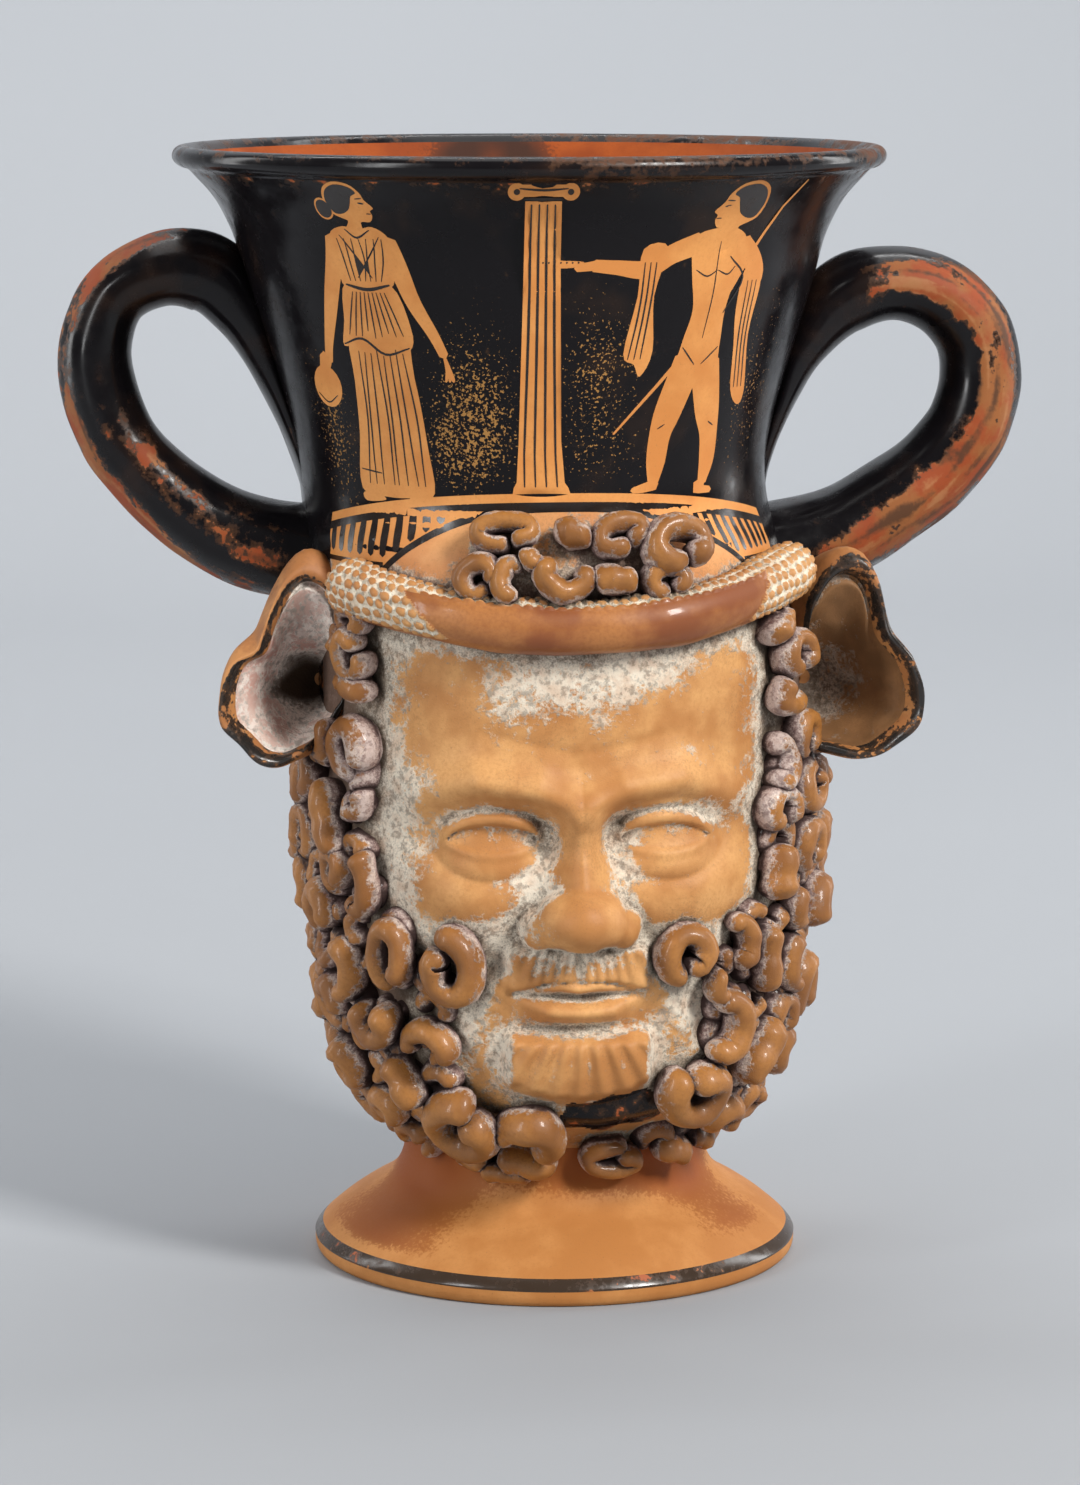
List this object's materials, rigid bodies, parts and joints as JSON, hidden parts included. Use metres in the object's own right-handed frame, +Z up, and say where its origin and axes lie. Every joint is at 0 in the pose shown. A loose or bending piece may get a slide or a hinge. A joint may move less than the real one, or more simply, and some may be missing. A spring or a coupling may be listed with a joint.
{
  "type": "drinking cup with a modelled head",
  "caption": "Two-handled fired clay drinking cup: a flaring bowl with tall loop handles over a bearded satyr's head that stands on a spreading round foot.",
  "frame": {"origin": "on the standing surface, under the middle of the cup's bounding box", "axes": "+Z up, the face looks along -Y, one handle stands out along -X and the other along +X"},
  "size_m": [0.1822, 0.133, 0.211],
  "materials": {
    "terracotta": "orange fired clay, the bowl and handles covered by glossy black slip"
  },
  "bodies": {
    "root": {"kantharos": "terracotta"}
  },
  "joints": []
}
